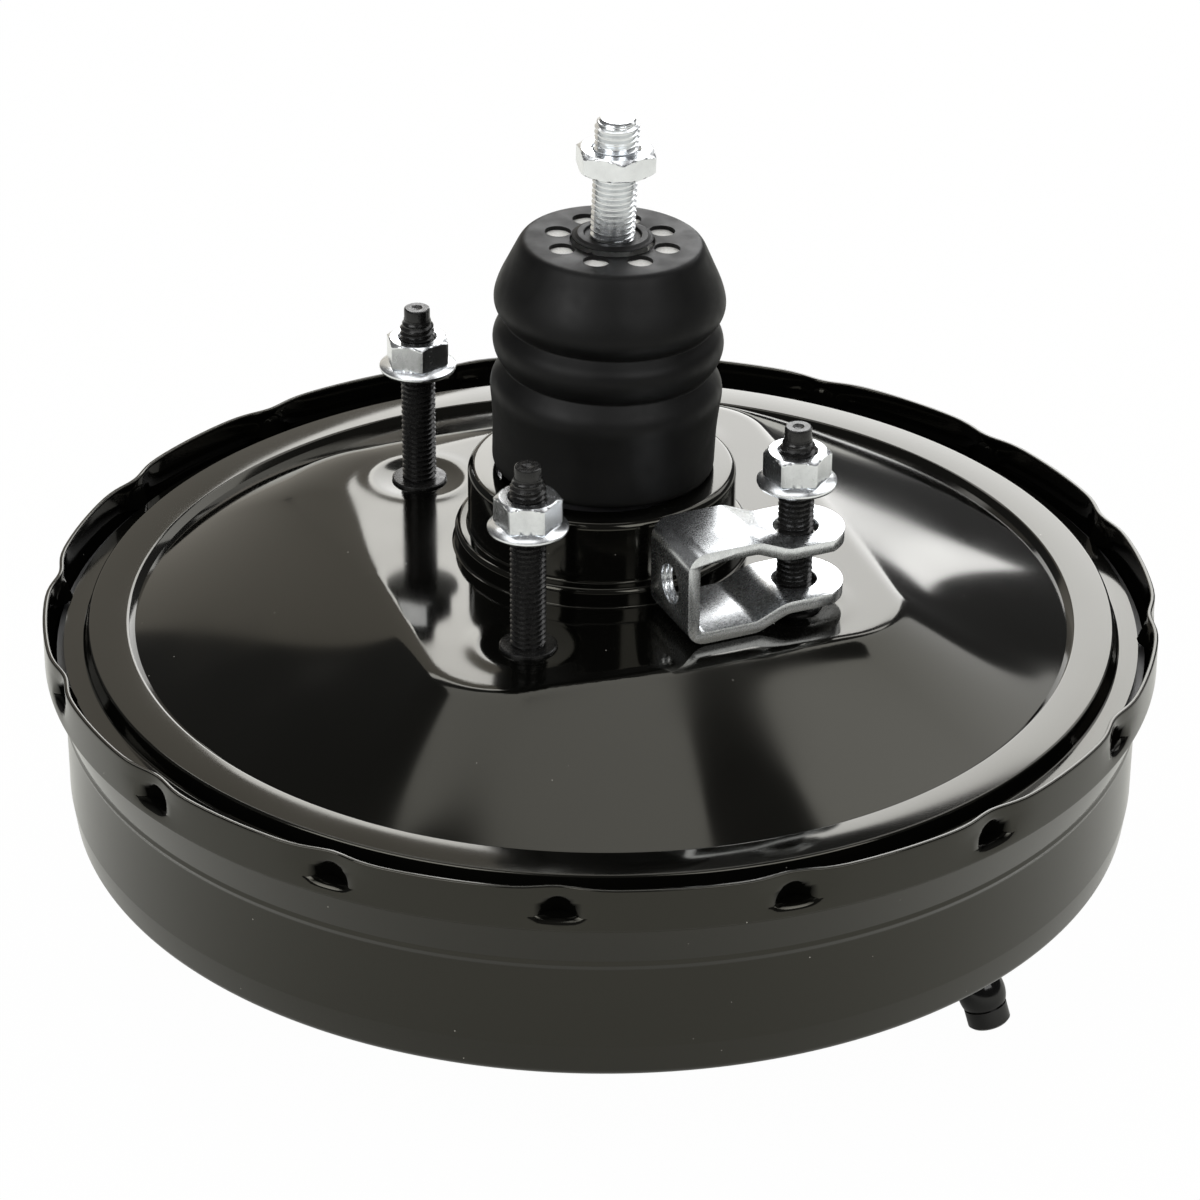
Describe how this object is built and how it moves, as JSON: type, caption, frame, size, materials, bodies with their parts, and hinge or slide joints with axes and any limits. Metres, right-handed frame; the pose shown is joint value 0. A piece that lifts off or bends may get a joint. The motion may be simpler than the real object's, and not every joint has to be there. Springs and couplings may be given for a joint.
{
  "type": "brake booster",
  "caption": "Vacuum brake booster: crimped steel drum with a rubber-booted input rod, mounting studs with flange nuts, a loose rod clevis and a check valve.",
  "frame": {"origin": "centre of the rear mounting plateau, on its outer face", "axes": "+Z along the booster's axis towards the pedal; X and Y along the sides of the stud rectangle, 61 mm and 83 mm"},
  "size_m": [0.252, 0.252, 0.2077],
  "materials": {
    "shell_paint": "gloss black stove enamel",
    "plain_steel": "plain pressed steel",
    "phosphate": "black phosphate",
    "zinc": "bright zinc plate",
    "boot_rubber": "matte",
    "seal_rubber": "matte",
    "diaphragm_rubber": "matte",
    "valve_plastic": "moulded",
    "spring_steel": "drawn wire",
    "white_felt": "felt",
    "grey_foam": "open foam",
    "guide_plastic": "nylon",
    "nozzle_plastic": "moulded"
  },
  "bodies": {
    "housing": {"front_shell": "shell_paint", "rear_shell": "shell_paint", "rear_plate": "plain_steel", "front_plate": "plain_steel", "firewall_studs": "phosphate", "firewall_nuts": "zinc", "cylinder_studs": "phosphate", "guide_bush": "guide_plastic", "tail_seal": "seal_rubber", "seal_retainer": "plain_steel", "front_seal": "seal_rubber", "dust_boot": "boot_rubber", "diaphragm": "diaphragm_rubber", "main_return_spring": "spring_steel", "valve_grommet": "seal_rubber", "valve_base": "nozzle_plastic", "valve_nozzle": "nozzle_plastic", "check_spring": "spring_steel"},
    "power_piston": {"valve_body": "valve_plastic", "diaphragm_plate": "plain_steel", "reaction_disc": "seal_rubber", "output_rod": "zinc", "output_tip": "zinc", "rod_retainer": "plain_steel", "stop_key": "plain_steel", "poppet": "seal_rubber", "poppet_holder": "plain_steel", "poppet_spring": "spring_steel", "filter_felt": "white_felt", "silencer": "grey_foam", "rod_return_spring": "spring_steel"},
    "valve_plunger": {"plunger": "zinc"},
    "pedal_rod": {"input_rod": "zinc", "rod_collar": "plain_steel", "lock_nut": "zinc"},
    "clevis_yoke": {"clevis": "zinc"},
    "check_flap": {"check_disc": "seal_rubber"}
  },
  "joints": [
    {"name": "power_piston_slide", "type": "slide", "parent": "housing", "child": "power_piston", "axis": [0, 0, -1], "range_m": [0, 0.03], "stiffness_N_per_m": 1500, "springref_m": -0.08, "deforming": ["main_return_spring", "diaphragm", "dust_boot"]},
    {"name": "valve_plunger_slide", "type": "slide", "parent": "power_piston", "child": "valve_plunger", "axis": [0, 0, -1], "range_m": [0, 0.002], "stiffness_N_per_m": 5000, "springref_m": -0.006, "deforming": ["rod_return_spring"]},
    {"name": "pedal_rod_tilt", "type": "hinge", "parent": "valve_plunger", "child": "pedal_rod", "pos_m": [0, 0, 0.014], "axis": [0, 1, 0], "range_deg": [-4, 1]},
    {"name": "clevis_swivel", "type": "hinge", "parent": "housing", "child": "clevis_yoke", "pos_m": [0.0305, -0.0415, 0], "axis": [0, 0, 1], "range_deg": [-1.5, 240]},
    {"name": "check_valve_lift", "type": "slide", "parent": "housing", "child": "check_flap", "axis": [0, 0, -1], "range_m": [0, 0.0015], "stiffness_N_per_m": 150, "springref_m": -0.002, "deforming": ["check_spring"]}
  ]
}
